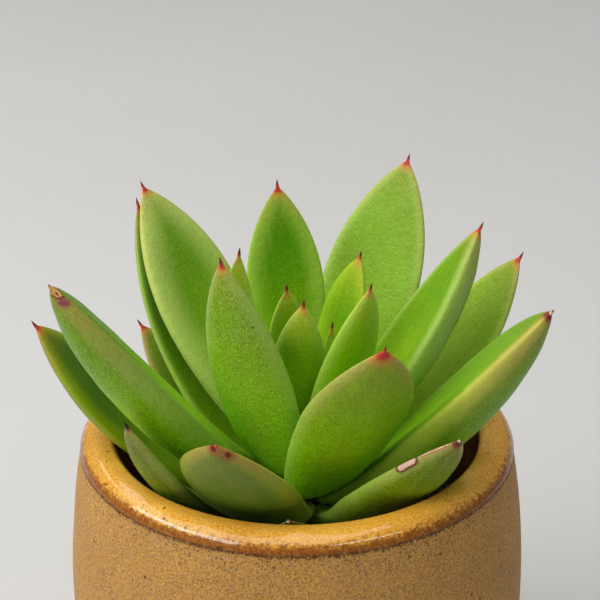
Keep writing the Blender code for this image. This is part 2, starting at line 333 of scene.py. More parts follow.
def raggedMask(distance, width, blend, spot, breakScale, breakDepth):
    return useGroup(raggedEdge, spot, distance=distance, width=width, blend=blend, breakScale=breakScale,
                    breakDepth=breakDepth)["mask"]


# the leaf form, shared by the free leaves and the heart

rosette = dict(
    lean=10,  # degrees that the stem leans forward
    foot=(0, 3, 59),  # mm, where the oldest leaves' seats start
    goldenAngle=137.5, firstTurn=349,
    stemRadius=6.5, stemTopRadius=1.8, stemTop=27, stemTaper=1.3,
    rootRadius=5.5, rootLength=16,
)

form = dict(
    around=44, along=72,
    pointLength=1.6, pointHalfWidth=0.35, pointThickness=0.6, pointLift=0.12,  # mm, the thin dark point
    pointRings=(0.2, 0.4, 0.6, 0.78, 0.92),  # shares of the point's length
    thickest=0.45,  # share of the leaf's length
    upperShare=0.3,  # share of the thickness that is above the spine
    cupShare=0.25,
    corner=0.9,  # under 1 makes the section squarer
    keel=0.35,
    footBend=25, footBendReach=0.1,
    curlFrom=0.35, rollReach=0.4,  # shares of the leaf's length
    seatGap=0.3,
    spineSteps=120,
    waviness=0.16, wavinessSize=7,  # mm, how far the skin swells and sinks
    ribDepth=0.05,  # mm, the faint lengthwise lines
)

# what each point of a leaf's mesh carries for its shader, in mm, with faceSide from -1 below to 1 on top
leafValues = "tipDistance", "edgeDistance", "faceSide", "acrossDistance"

rosetteMatrix = (Matrix.Translation(Vector(rosette["foot"]) * mm)
                 @ Matrix.Rotation(radians(rosette["lean"]), 4, "X"))


def stemRadiusAt(height):
    share = max(0, min(1, height / rosette["stemTop"]))
    slimming = rosette["stemRadius"] - rosette["stemTopRadius"]
    return rosette["stemRadius"] - slimming * share ** rosette["stemTaper"]


def halfWidth(share, leaf):
    full, foot, widest = leaf["width"] / 2, leaf["footWidth"] / 2, leaf["widest"]
    if share < widest:
        return foot + (full - foot) * sin(pi / 2 * share / widest) ** 1.05
    along = (share - widest) / (1 - widest)
    return max(full * (1 - along ** 2) ** 0.85, form["pointHalfWidth"])


def thicknessAt(share, leaf):
    full, foot, thickest = leaf["thick"], leaf["footThick"], form["thickest"]
    if share < thickest:
        return foot + (full - foot) * sin(pi / 2 * share / thickest)
    along = (share - thickest) / (1 - thickest)
    return max(full * (1 - along ** 2.4) ** 0.8, form["pointThickness"])


def leafSpine(leaf):
    # X is outwards, Y across and Z up the stem
    rise, lean, curl = radians(leaf["rise"]), radians(leaf["lean"]), radians(leaf["curl"])
    footRise = rise - radians(form["footBend"])
    steps = form["spineSteps"]
    points, ways = [Vector((0, 0, 0))], []
    for i in range(steps):
        share = (i + 0.5) / steps
        bend = exp(-share / form["footBendReach"])
        climb = rise + (footRise - rise) * bend + curl * (share - form["curlFrom"])
        side = lean * (1 - bend)
        way = Vector((cos(side) * cos(climb), sin(side), cos(side) * sin(climb)))
        ways.append(way)
        points.append(points[-1] + way * leaf["length"] / steps)
    ways.append(ways[-1])
    return points, ways


class LeafSurface:
    # the leaf's skin: a point for each share of its length and each angle round it
    def __init__(self, leaf):
        self.leaf = leaf
        self.points, self.ways = leafSpine(leaf)
        self.seed = leaf["order"] + 1

    def ringFrame(self, share):
        steps = form["spineSteps"]
        spot = share * steps
        k = min(int(spot), steps - 1)
        centre = self.points[k].lerp(self.points[k + 1], spot - k)
        way = self.ways[k].lerp(self.ways[k + 1], spot - k).normalized()
        across = (Vector((0, 1, 0)) - way * way.y).normalized()
        upper = across.cross(way) * -1
        if upper.z - upper.x < 0:
            upper = -upper
        roll = radians(self.leaf["roll"]) * min(1, share / form["rollReach"])
        return centre, across * cos(roll) + upper * sin(roll), upper * cos(roll) - across * sin(roll)

    def at(self, share, angle):
        # angle 0 and 180 are the margins, 90 the middle of the upper face, 270 of the lower one
        centre, across, upper = self.ringFrame(share)
        half, thick = halfWidth(share, self.leaf), thicknessAt(share, self.leaf)
        c, s = cos(radians(angle)), sin(radians(angle))
        x = half * (1 if c > 0 else -1) * abs(c) ** form["corner"]
        if s >= 0:
            cup = form["cupShare"] * thick * sin(pi * share)
            hollow = 1 - (x / half) ** 2
            z = (thick * form["upperShare"] * s ** form["corner"]
                 - cup * hollow * smoothStep(s, 0, 0.12))
        else:
            z = -thick * (1 - form["upperShare"]) * abs(s) ** (1 + form["keel"] * share)
        point = centre + across * x + upper * z
        fade = smoothStep(share, 0, 0.12) * smoothStep(1 - share, 0, 0.1) * abs(s)
        swell = form["waviness"] * wobble(point, form["wavinessSize"], self.seed)
        ribs = form["ribDepth"] * wobble((x * 1.4, share * 2.2, s), 1, self.seed + 40)
        outward = (upper * (1 if s >= 0 else -1) + across * c * 0.5).normalized()
        return point + outward * (swell + ribs) * fade, half - abs(x), s, x


def storeValues(mesh, rows):
    for name, column in zip(leafValues, zip(*rows)):
        mesh.attributes.new(name, "FLOAT", "POINT").data.foreach_set("value", column)


def leafMesh(leaf, around, along):
    skin = LeafSurface(leaf)
    length, pointLength = leaf["length"], leaf["pointLength"]
    rings, values = [], []
    for i in range(along):
        even = i / (along - 1)
        share = 0.5 * even + 0.25 * (1 - cos(pi * even))  # closer rings at both ends
        spots = [skin.at(share, 360 * k / around) for k in range(around)]
        rings.append([spot[0] for spot in spots])
        values += [((1 - share) * length + pointLength, *spot[1:]) for spot in spots]
    # the thin point: rings that narrow from the last one
    whole, way, lift = rings[-1], skin.ways[-1], skin.ringFrame(1)[2]
    centre = sum(whole, Vector()) / around
    for step in form["pointRings"]:
        middle = centre + way * pointLength * step + lift * form["pointLift"] * step * step
        scale = (1 - step) ** 0.8
        rings.append([middle + (point - centre) * scale for point in whole])
        values += [(pointLength * (1 - step), 0, side, 0) for point, edge, side, across in spots]
    values += [(length + pointLength, 1, 0, 0), (0, 0, 0, 0)]
    mesh = closedTube(leaf["name"], rings, sum(rings[0], Vector()) / around, centre + way * pointLength, True)
    storeValues(mesh, values)
    return mesh


def fullLeaf(**given):
    leaf = dict(curl=0, roll=0, lean=0, turn=0, widest=0.56, pointLength=form["pointLength"], marks=(),
                skin={})
    leaf.update(given)
    leaf.setdefault("thick", 0.32 * leaf["width"])
    leaf.setdefault("footWidth", min(8.0, 0.5 * leaf["width"] + 1.5))
    leaf.setdefault("footThick", min(3.2, 0.5 * leaf["thick"] + 0.6))
    return leaf


def leafPlace(leaf):
    turn = radians(rosette["firstTurn"] + rosette["goldenAngle"] * leaf["order"] + leaf["turn"])
    footClimb = max(0, sin(radians(leaf["rise"] - form["footBend"])))
    out = (stemRadiusAt(leaf["seat"] - leaf["footThick"] / 2) + form["seatGap"]
           + 0.25 * leaf["footThick"] * footClimb)
    spot = Vector((out * cos(turn), out * sin(turn), leaf["seat"])) * mm
    return rosetteMatrix @ Matrix.Translation(spot) @ Matrix.Rotation(turn, 4, "Z")


# leaf skin: colours are 0 to 255, and widths and reaches in mm from the margin or the tip

leafSkin = dict(
    under=(126, 170, 0), upper=(98, 152, 2),  # the rounded outer face and the hollow inner one
    foot=(188, 234, 16), footAt=20, footReach=30, footMix=0.92,  # the pale foot: partly the leaf's paler base, partly painted light for the light through the flesh and between the leaves. It comes in from footAt, in footReach
    film=(150, 168, 60), filmMix=0.22, filmReach=34,  # the thin waxy film
    olive=(112, 116, 24), oliveMix=0.2,  # duller patches
    vein=(150, 190, 30), veinMix=0.22,
    net=(58, 100, 0), netMix=0.38,  # the darker net between the water cells
    # glint is a painted highlight: light sparkling on the water cells
    glint=(180, 210, 74), glintMix=0.6,
    glintOnTop=0.3,  # how much of it the hollow face shows
    cellScale=3500,
    # the pale margin band is painted sheen, where the thin margins catch light at a grazing angle and let it
    # through
    margin=(176, 200, 104), marginWidth=0.9, marginMix=0.45,
    flush=(160, 104, 58), flushReach=12, flushMix=0.3,  # the brown and pink stipple towards the tip
    blush=(178, 116, 88), blushReach=16, blushWidth=1, blushMix=0.35,  # the stipple along the margins
    blushSide=0,  # 0 for both margins, 1 or -1 for one of them
    warm=(214, 116, 50), warmReach=3.7, red=(188, 40, 52), redReach=2.7, point=(92, 14, 30), pointReach=1.3,
    roughness=0.42, shine=0.19, sheen=0.03, sheenTint=(214, 226, 190),
    seeThrough=0.22,
    lightDepth=0.0025,  # metres that light spreads in the flesh
    lightSpread=(0.6, 1, 0.15),
)

markLook = dict(uneven=0.8, amount=1, fill=(204, 168, 128), ringMix=0.9, ringColour=(92, 26, 40))


def leafMaterial(name, foot, way, changes, marks=()):
    look = dict(leafSkin, **changes)
    material, shader, spot = newMaterial(name)
    tip, edge, side, across = [meshValue(material, label) for label in leafValues]
    turned = addNode("Mapping", dict(vector=spot, location=foot, scale=(1, 1, 1.9),
                                     rotation=way.to_track_quat("Z", "Y").to_euler()),
                     vector_type="TEXTURE").outputs[0]
    patches, grain = mottled(turned, 130, 4000, 0.18)
    broadPatches, broadGrain = mottled(spot, 60, 800, 0.22)
    cells = useGroup(waterCells, turned, scale=look["cellScale"], share=0.85)
    glintOnTop = look["glintMix"] * look["glintOnTop"]

    # lengthwise lines, drawn out along the leaf
    lines = addNode("CombineXYZ", {0: times(across, 0.9), 1: times(tip, 0.045), 2: side}).outputs[0]
    vein = remap(noiseAt(lines, 1, 4, 0.6, 0.3), 0.46, 0.7)

    # the soft pale band along the margins, a painted sheen where they catch light at a grazing angle and let
    # it through, and the stipple along the margins near the tip
    rim = raggedMask(edge, look["marginWidth"], look["marginWidth"], spot, 500, 0.25)
    fringe = times(raggedMask(edge, look["blushWidth"], look["blushWidth"], spot, 1100, 0.5),
                   remap(tip, 3, look["blushReach"], 1, 0), remap(grain, 0.1, 0.9, 0.35, 1))
    if look["blushSide"]:
        half = 0.5 * look["blushSide"]
        fringe = times(fringe, remap(across, -0.5, 0.5, 0.5 - half, 0.5 + half))

    # the tip: warm, then red, then the dark point. On a broad tip they keep round the point.
    fromPoint = calc("SQRT", calc("ADD", times(tip, tip), times(across, across, 1.6)))
    warm, red, point = [raggedMask(fromPoint, look[part], soft, spot, 900, 0.3) for part, soft in
                        (("warmReach", 1.1), ("redReach", 0.6), ("pointReach", 0.45))]

    colour = layered(
        look, look["under"], ("upper", remap(side, -0.15, 0.15)),
        # the pale foot is partly painted light; the upper face, which gets more light, takes less of it
        ("foot", remap(tip, look["footAt"], look["footAt"] + look["footReach"]),
         remap(side, -0.15, 0.15, look["footMix"], 0.4)),
        ("vein", vein, look["veinMix"]),
        ("olive", patches, look["oliveMix"]),
        ("film", remap(broadPatches, 0, 1, 0.45, 1), remap(tip, 3, look["filmReach"], 1, 0.15),
         look["filmMix"]),
        ("net", cells["net"], remap(broadGrain, 0, 1, 0.4, 1), remap(side, -0.15, 0.2, 1, 0.6),
         look["netMix"]),
        # painted highlights: the glints on the water cells
        ("glint", cells["glint"], remap(side, -0.15, 0.2, look["glintMix"], glintOnTop)),
        # painted sheen: the pale band along the margins
        ("margin", rim, look["marginMix"]),
        ("flush", remap(tip, 1.5, look["flushReach"], 1, 0), remap(grain, 0.2, 0.8, 0.35, 1),
         look["flushMix"]),
        ("blush", fringe, look["blushMix"]),
        ("warm", warm, 0.5), ("red", red, 0.9), ("point", point, 0.9))

    rough = remap(grain, 0, 1, look["roughness"] - 0.05, look["roughness"] + 0.08)
    normal = bump(minus(cells["glint"], times(cells["net"], 0.7)), 0.25, 0.0001)
    normal = bump(broadGrain, 0.18, 0.0003, normal)

    for mark in marks:
        found = useGroup(scar, spot, start=mark["start"], finish=mark["finish"], radius=mark["radius"] * mm,
                         ringWidth=mark["ring"] * mm, unevenness=mark["uneven"] * mm)
        colour = layered(mark, colour, ("fill", found["inside"], mark["amount"]),
                         ("ringColour", found["ring"], mark["ringMix"]))
        rough = mixValue(found["inside"], rough, 0.7)
        normal = bump(times(found["inside"], grain), 0.5, 0.0003, normal)

    fill(shader, dict(baseColor=colour, roughness=rough, normal=normal, specularIorLevel=look["shine"],
                      subsurfaceWeight=look["seeThrough"], subsurfaceScale=look["lightDepth"],
                      subsurfaceRadius=look["lightSpread"], sheenWeight=look["sheen"], sheenRoughness=0.4,
                      sheenTint=paint(*look["sheenTint"])))
    return material


# the free leaves, youngest first, along the golden-angle spiral
# turn is added to the spiral's own, seat is the height of the foot on the stem in mm, rise the climb in
# degrees, lean the tilt to the side and curl the bend along the leaf. skin changes leafSkin, and marks lie
# at a share of the length and an angle round the leaf.

limeSkin = dict(under=(144, 190, 0), upper=(122, 178, 0), film=(206, 216, 60), filmMix=0.9, filmReach=17,
                flushMix=0.1, oliveMix=0.1, blushMix=0.12, warm=(226, 120, 84), warmReach=3.4,
                redReach=2.0, netMix=0.28)
# deepSkin and paleSkin widen the pale margin band, a painted sheen; paleSkin's paler upper face is a painted
# reflection of the light on the hollow upper face
deepSkin = dict(upper=(80, 146, 0), filmMix=0.06, marginWidth=2.4, marginMix=0.8, margin=(160, 196, 70))
paleSkin = dict(upper=(122, 172, 20), under=(140, 180, 16), filmMix=0.3, filmReach=60, marginWidth=1.3,
                marginMix=0.6, blushReach=34, blushMix=0.4, blushWidth=0.7)


def speck(start, radius, ring, colour, **changes):
    # a small dot without a darker ring
    return dict(start=start, radius=radius, ring=ring, fill=colour, ringMix=0, **changes)


leaves = [
    dict(name="bud_right", turn=1, seat=25.3, rise=82.5, lean=-7, length=24.5, width=7, roll=-20,
         skin=limeSkin),
    dict(name="bud_back", turn=-14, seat=24.6, rise=95.5, lean=3, length=30, width=8, skin=limeSkin),
    dict(name="bud_front", seat=24, rise=84, lean=4, length=34.5, width=10.5, widest=0.5,
         skin=dict(limeSkin, under=(122, 178, 0), filmMix=0.8, filmReach=14)),
    dict(name="inner_back_right", seat=22.8, rise=74.5, lean=-3, length=36, width=11,
         skin=dict(limeSkin, upper=(84, 148, 0), marginWidth=1.6, margin=(170, 206, 40))),
    dict(name="inner_left", turn=-9, seat=22, rise=75.5, lean=-6, length=39.5, width=7, curl=30, roll=-70,
         skin=limeSkin),
    dict(name="inner_right", turn=-5, seat=20, rise=76, lean=4, length=45.5, width=14.5, widest=0.5,
         skin=dict(limeSkin, under=(156, 214, 0), filmMix=0.6, filmReach=18, oliveMix=0,
             flushMix=0.04, netMix=0.24)),
    dict(name="back", seat=19.5, rise=70.5, lean=3, length=48.5, width=15.5, skin=deepSkin),
    dict(name="front_left", turn=6, seat=15.5, rise=80, lean=-6, length=56, width=19, widest=0.42,
         footWidth=12,
         # its brighter foot is painted light, and its stronger glint a painted highlight
         skin=dict(foot=(184, 246, 20), footAt=12, footReach=24, film=(158, 178, 88), filmMix=0.32,
             filmReach=70, glint=(192, 216, 108), glintMix=0.75, netMix=0.4, blushMix=0.5,
             blushSide=-1, marginWidth=1.1),
         marks=[speck((0.79, 291), 0.1, 0.14, (24, 34, 14)),
             speck((0.785, 303), 0.07, 0.12, (34, 44, 20)),
             speck((0.77, 321), 0.16, 0.2, (12, 16, 10))]),
    dict(name="right", seat=17.3, rise=57.5, lean=3, length=56.5, width=17, thick=9, widest=0.42, curl=8,
         skin=dict(filmMix=0.14, marginWidth=1.4, marginMix=0.65, blushMix=0.2),
         marks=[speck((0.89, 120), 0.2, 0.3, (58, 84, 44), finish=(0.895, 112), uneven=1.2)]),
    dict(name="back_left", seat=16.3, rise=54.5, lean=-7, length=57.5, width=22, curl=-8,
         # the wide pale band on its hollow upper face is a painted sheen
         skin=dict(paleSkin, upper=(90, 152, 0), marginWidth=4.4, marginMix=0.85,
             margin=(190, 210, 108))),
    dict(name="front", turn=2, seat=10.9, rise=65.5, lean=9, length=56, width=22, thick=7, widest=0.64,
         curl=10, footWidth=9.5,
         # its brighter foot is painted light over the shade at its base
         skin=dict(under=(138, 190, 0), foot=(184, 246, 0), footAt=12, footReach=24, blushMix=0.6,
             blushReach=34, blushWidth=1.5, blush=(176, 122, 84), flushMix=0.4,
             flushReach=20, flush=(138, 118, 50), redReach=3.3, warmReach=4.8)),
    dict(name="back_right", seat=14.2, rise=53, lean=-3, length=61, width=21, curl=15,
         # its pale upper face is a painted reflection of the light
         skin=dict(paleSkin, upper=(130, 178, 44))),
    dict(name="left", turn=6, seat=11.2, rise=57, length=73.5, width=20, thick=12, widest=0.66, curl=-2,
         roll=5, pointLength=0.7,
         # its bright foot is painted light over the shaded underside near its base
         skin=dict(under=(110, 158, 0), flush=(134, 96, 50), flushMix=0.22, flushReach=14, footAt=12,
             footReach=34, blush=(150, 110, 54), blushMix=0.75, blushWidth=1.2,
             blushReach=31, blushSide=1, filmMix=0.1, filmReach=36, foot=(180, 246, 0),
             warmReach=1.5, redReach=1, pointReach=0.6, netMix=0.5, glintMix=0.5, oliveMix=0.1),
         marks=[dict(start=(0.965, 325), finish=(0.96, 0), radius=0.75, ring=0.9, uneven=1.2, amount=0.85,
                 fill=(134, 48, 72), ringColour=(150, 84, 70), ringMix=0.55),
             dict(start=(0.995, 320), finish=(0.985, 20), radius=1, ring=0.5, uneven=2.0,
                 fill=(208, 152, 92), ringColour=(104, 34, 44)),
             speck((0.999, 330), 0.1, 0.12, (66, 34, 20), finish=(0.985, 342)),
             speck((0.99, 0), 0.12, 0.12, (84, 44, 26), finish=(0.98, 350)),
             speck((0.996, 300), 0.1, 0.1, (110, 60, 36), finish=(0.984, 318)),
             speck((0.755, 309), 0.08, 0.1, (196, 214, 150), finish=(0.76, 316), uneven=0.3, amount=0.6),
             speck((0.685, 313), 0.08, 0.1, (190, 208, 140), finish=(0.68, 323), uneven=0.3, amount=0.6)]),
    dict(name="right_front", turn=-3, seat=7.5, rise=55.5, lean=2, length=72.5, width=20, thick=12,
         widest=0.64, curl=-3, roll=2, pointLength=0.8,
         skin=dict(flush=(140, 112, 44), flushReach=20, blush=(196, 146, 96), blushMix=0.6,
             blushWidth=1.7, blushReach=36, blushSide=-1, marginMix=0.6, marginWidth=0.7,
             margin=(200, 210, 84), filmMix=0, under=(112, 166, 0), foot=(150, 210, 0), flushMix=0.2,
             warm=(150, 60, 40), warmReach=3.2, red=(112, 20, 44), redReach=2.4),
         marks=[dict(start=(1, 150), finish=(1, 210), radius=0.4, ring=0.25, fill=(208, 176, 150),
                 ringColour=(80, 14, 34))]),
    dict(name="low_back", turn=-12, seat=11, rise=28, length=41, width=15),
    dict(name="front_blunt", seat=7.4, rise=49.5, lean=-2, length=53.5, width=23, thick=7.5, widest=0.64,
         curl=20, footWidth=12, pointLength=0.3,
         # its dark under colour is painted shade on this downward-facing leaf; its brighter foot and pale
         # margin are painted light
         skin=dict(under=(62, 112, 0), foot=(166, 204, 0), film=(172, 170, 92), blush=(176, 104, 74),
             blushMix=0.45, blushReach=14, blushWidth=1.3, margin=(168, 178, 50),
             marginWidth=1.6, marginMix=0.5, flush=(140, 104, 50), flushMix=0.25, flushReach=14,
             netMix=0.3, filmReach=22, filmMix=0.4, oliveMix=0.3, warmReach=0.4, redReach=0.3,
             pointReach=0.2, glintMix=0.1, veinMix=0),
         marks=[dict(start=(0.985, 240), finish=(0.99, 215), radius=1, ring=1.2, uneven=0.5,
                 fill=(120, 26, 30), ringColour=(156, 70, 48), ringMix=0.65),
             dict(start=(0.965, 315), radius=1, ring=1.2, uneven=0.5, fill=(118, 30, 28),
                 ringColour=(136, 72, 36), ringMix=0.6)]),
    dict(name="right_back", seat=5.8, rise=47.5, lean=-7, length=62, width=18, curl=22,
         skin=dict(upper=(132, 172, 40), filmMix=0.35, filmReach=60)),
    dict(name="left_back", turn=-10, seat=8.8, rise=51, lean=-17, length=61, width=17, thick=4.8, curl=20),
    dict(name="low_right_front", seat=4.2, rise=48.5, lean=8, length=55, width=16.5, thick=6, curl=12,
         roll=-15, footWidth=5, pointLength=0.5,
         # its bright foot is painted light over the shade at its base
         skin=dict(under=(98, 136, 0), foot=(190, 232, 0), footAt=10, footReach=22,
             blush=(190, 132, 104), blushMix=0.5, blushReach=26, blushWidth=0.7,
             oliveMix=0.35, filmMix=0.1, warm=(150, 70, 50), warmReach=2.6, red=(110, 24, 48),
             redReach=2.1, pointReach=0.9),
         marks=[dict(start=(0.78, 186), finish=(0.84, 181), radius=0.74, ring=0.65, uneven=0.7,
                 fill=(222, 182, 164), ringColour=(96, 16, 40)),
             dict(start=(0.875, 168), finish=(0.965, 176), radius=0.26, ring=0.25, uneven=0.5,
                 fill=(214, 168, 148), ringColour=(160, 84, 84), ringMix=0.6),
             dict(start=(1, 150), finish=(1, 230), radius=0.35, ring=0.2, fill=(206, 170, 146),
                 ringColour=(84, 16, 36))]),
    dict(name="low_back_right", turn=-4, seat=3.5, rise=30, length=41, width=14),
    dict(name="low_left_front", turn=-4, seat=1.5, rise=49, lean=5, length=56, width=13.5, thick=5.5,
         curl=30, roll=6, footWidth=7,
         skin=dict(under=(96, 140, 0), foot=(176, 186, 24), olive=(96, 66, 20), oliveMix=0.35,
             flush=(112, 52, 26), flushMix=0.4, flushReach=26, filmMix=0, warmReach=2.6,
             red=(112, 26, 44), point=(26, 12, 30), pointReach=2.0, blushMix=0.2),
         marks=[speck((0.945, 300), 0.16, 0.2, (92, 40, 44)),
             speck((0.925, 327), 0.14, 0.2, (104, 52, 44)),
             speck((0.9, 318), 0.1, 0.2, (104, 60, 44))]),
    dict(name="low_right", turn=-3, seat=2, rise=32, length=29, width=11),
    dict(name="low_back_left", turn=12, seat=2.5, rise=39.5, lean=-4, length=43, width=13,
         skin=dict(olive=(122, 104, 60), oliveMix=0.6, blushMix=0.7, blushReach=30)),
    dict(name="low_front", turn=5, seat=0.9, rise=44, lean=-9, length=40, width=10, thick=2.4, curl=15,
         pointLength=0.4,
         skin=dict(under=(150, 136, 40), olive=(110, 76, 40), oliveMix=0.6, warmReach=0.5, redReach=0.4,
             pointReach=0.3),
         marks=[dict(start=(0.995, 90), finish=(1, 270), radius=0.6, ring=0.8, uneven=0.6,
                 fill=(230, 208, 184), ringColour=(58, 26, 16))]),
    dict(name="low_right_back", turn=-6, seat=0.4, rise=33, length=36, width=12),
    dict(name="low_left", turn=-1, seat=5.8, rise=42.5, lean=-5, length=61, width=20, thick=6.5, widest=0.6,
         curl=20, roll=-5, footWidth=7,
         # its dark upper face is painted shadow, cast by the leaf named left above it
         skin=dict(upper=(60, 104, 0), under=(74, 116, 0), filmMix=0.03, marginWidth=2.2,
             margin=(158, 176, 24), marginMix=0.6, glintMix=0.25, veinMix=0.06)),
]


def buildLeaves():
    pieces = []
    for order, given in enumerate(leaves):
        leaf = fullLeaf(**dict(given, order=order, name=f"leaf_{order:02d}_{given['name']}"))
        seat, surface = leafPlace(leaf), LeafSurface(leaf)
        marks = []
        for mark in leaf["marks"]:
            start, finish = [seat @ (surface.at(*at)[0] * mm)
                             for at in (mark["start"], mark.get("finish", mark["start"]))]
            marks.append(dict(markLook, **dict(mark, start=start, finish=finish)))
        foot = seat @ (surface.points[0] * mm)
        changes = dict(footAt=0.3 * leaf["length"], footReach=0.5 * leaf["length"])
        changes.update(leaf["skin"])
        material = leafMaterial("skin of " + leaf["name"], foot, seat @ (surface.points[-1] * mm) - foot,
                                changes, marks)
        piece = addPiece(leaf["name"] + "_fine", leafMesh(leaf, form["around"], form["along"]),
                         material, seat)
        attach(piece, "root")
        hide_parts(leaf["name"])
        pieces.append(piece)
    return pieces


leafPieces = buildLeaves()
print("leaves:", len(leafPieces))


# heart

heart = dict(
    leaves=4, length=15, width=4, shrink=0.16,
    leaf=dict(rise=84, thick=1.3, footWidth=2, footThick=1.2),
    seat=28, out=0.5,  # mm up the stem and out from its axis
    coreRadius=1.5, coreSink=0.7,
    around=24, along=30,
    skin=dict(limeSkin, footAt=6, warmReach=1.8, redReach=1.2, pointReach=0.8),
)


def buildHeart():
    up = rosetteMatrix.to_3x3() @ Vector((0, 0, 1))
    material = leafMaterial("skin of heart", rosetteMatrix.translation, up, heart["skin"])
    core = bmesh.new()
    bmesh.ops.create_uvsphere(core, u_segments=24, v_segments=16, radius=heart["coreRadius"] * mm)
    mesh = meshFromShape("heart_fine", core)
    mesh.shade_smooth()
    storeValues(mesh, [(14.0, 2.0, 0, 0)] * len(mesh.vertices))
    lift = Matrix.Translation((0, 0, (heart["seat"] + heart["coreRadius"] - heart["coreSink"]) * mm))
    piece = addPiece("heart_fine", mesh, material, rosetteMatrix @ lift)
    small = bpy.data.collections.new("heart leaves")
    scene.collection.children.link(small)
    for i in range(1, heart["leaves"] + 1):
        size = 1 - heart["shrink"] * (i - 1)
        leaf = fullLeaf(name=f"heart_leaf_{i}", order=-i, width=heart["width"] * size,
                        length=heart["length"] * size, **heart["leaf"])
        turn = radians(rosette["firstTurn"] - rosette["goldenAngle"] * i)
        spot = Vector((heart["out"] * cos(turn), heart["out"] * sin(turn), heart["seat"])) * mm
        bud = bpy.data.objects.new(leaf["name"], leafMesh(leaf, heart["around"], heart["along"]))
        small.objects.link(bud)
        bud.matrix_world = rosetteMatrix @ Matrix.Translation(spot) @ Matrix.Rotation(turn, 4, "Z")
        bud.data.materials.append(material)
    join = piece.modifiers.new("Join", "BOOLEAN")
    join.operation = "UNION"
    join.operand_type = "COLLECTION"
    join.collection = small
    applyModifiers(piece)
    for bud in list(small.objects):
        bpy.data.objects.remove(bud, do_unlink=True)
    bpy.data.collections.remove(small)
    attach(piece, "root")
    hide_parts("heart")
    print("heart:", len(piece.data.polygons), "faces")


buildHeart()


# stem

stemLook = dict(
    around=64, rows=90,
    skin=(112, 124, 44), scarColour=(140, 112, 70), bark=(84, 66, 40),
    barkTop=(0.056, 0.066),  # metres up, between which the bark fades out
    roughness=(0.62, 0.87),
    scarStep=1.35,  # mm between the leaf scars up the stem
    scarDepth=0.14,
    unevenness=0.08,
)


def stemMaterial():
    material, shader, spot = newMaterial("stem skin")
    patches, grain = mottled(spot, 260, 1800, 0.2)
    height = addNode("SeparateXYZ", {0: spot}).outputs[2]
    colour = layered(stemLook, stemLook["skin"], ("scarColour", patches),
                     ("bark", remap(height, *stemLook["barkTop"], 1, 0), 0.85), ("bark", grain, 0.3))
    fill(shader, dict(baseColor=colour, roughness=remap(grain, 0, 1, *stemLook["roughness"]),
                      normal=bump(grain, 0.5, 0.0003)))
    return material


def buildStem():
    def shift(point):
        away = Vector((point.x, point.y, 0))
        if point.z < -0.5 or away.length < 0.5 or point.z > rosette["stemTop"] - 1:
            return point
        turn = Vector((1, 0, 0)).angle(away)
        ridge = sin(2 * pi * point.z / stemLook["scarStep"] + turn * 3)
        depth = stemLook["scarDepth"] * (0.5 + 0.5 * ridge)
        return point - away.normalized() * (depth + stemLook["unevenness"] * (1 + wobble(point, 1.5, 3)))

    top, root, depth = rosette["stemTop"], rosette["rootRadius"], -rosette["rootLength"]
    rows = stemLook["rows"]
    heights = [top * (1 - i / rows) for i in range(rows + 1)]
    profile = [(0, top)] + [(stemRadiusAt(height), height) for height in heights]
    profile += [(root, -1.5), (root, 2 + depth), (root - 2, depth), (0, depth)]
    mesh = lathe("stem_fine", profile, stemLook["around"], shift)
    piece = addPiece("stem_fine", mesh, stemMaterial(), rosetteMatrix)
    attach(piece, "root")
    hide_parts("stem")
    return piece


stemPiece = buildStem()
print("stem ready")


# pot: lengths in mm

pot = dict(
    around=240,
    height=80,
    baseRadius=35, baseRounding=3, footSplay=23.5,
    bellyRadius=46.3, bellyBelowRim=35,
    neckRadius=43.5, neckBelowRim=3.4,
    lipCrownRadius=39.5, lipInnerRounding=1.6,
    wallBelowRim=1.8,
    cavityRadius=36.5, cavityFloor=8, cavityFloorRadius=28, cavityCorner=8,
    uneven=0.1,  # how far the lip and the body wander
    bead=0.14, beadHeight=0.75, beadAboveNeck=0.3,  # the ridge where the lip's glaze ends
)

glaze = dict(
    lip=(212, 148, 28), lipOrange=(198, 110, 0), lipPale=(246, 206, 100), lipSpeck=(130, 78, 18),
    band=(124, 60, 0), bandAt=-1.9, bandBlend=0.7,  # the deep orange-brown band, from mm below the neck
    edge=(70, 36, 12), edgeAt=-0.2, edgeWidth=0.5,  # the ragged end of the lip's glaze
    body=(194, 155, 98), bodyGrey=(156, 130, 98), bodyAmber=(214, 151, 52),
    grit=(86, 54, 34), denseReach=6,  # mm below the neck in which the grit thins out
    pits=(60, 38, 28),
    lipRoughness=0.34, bodyRoughness=0.52, shine=0.16, coat=0.9, coatRoughness=0.07,
)


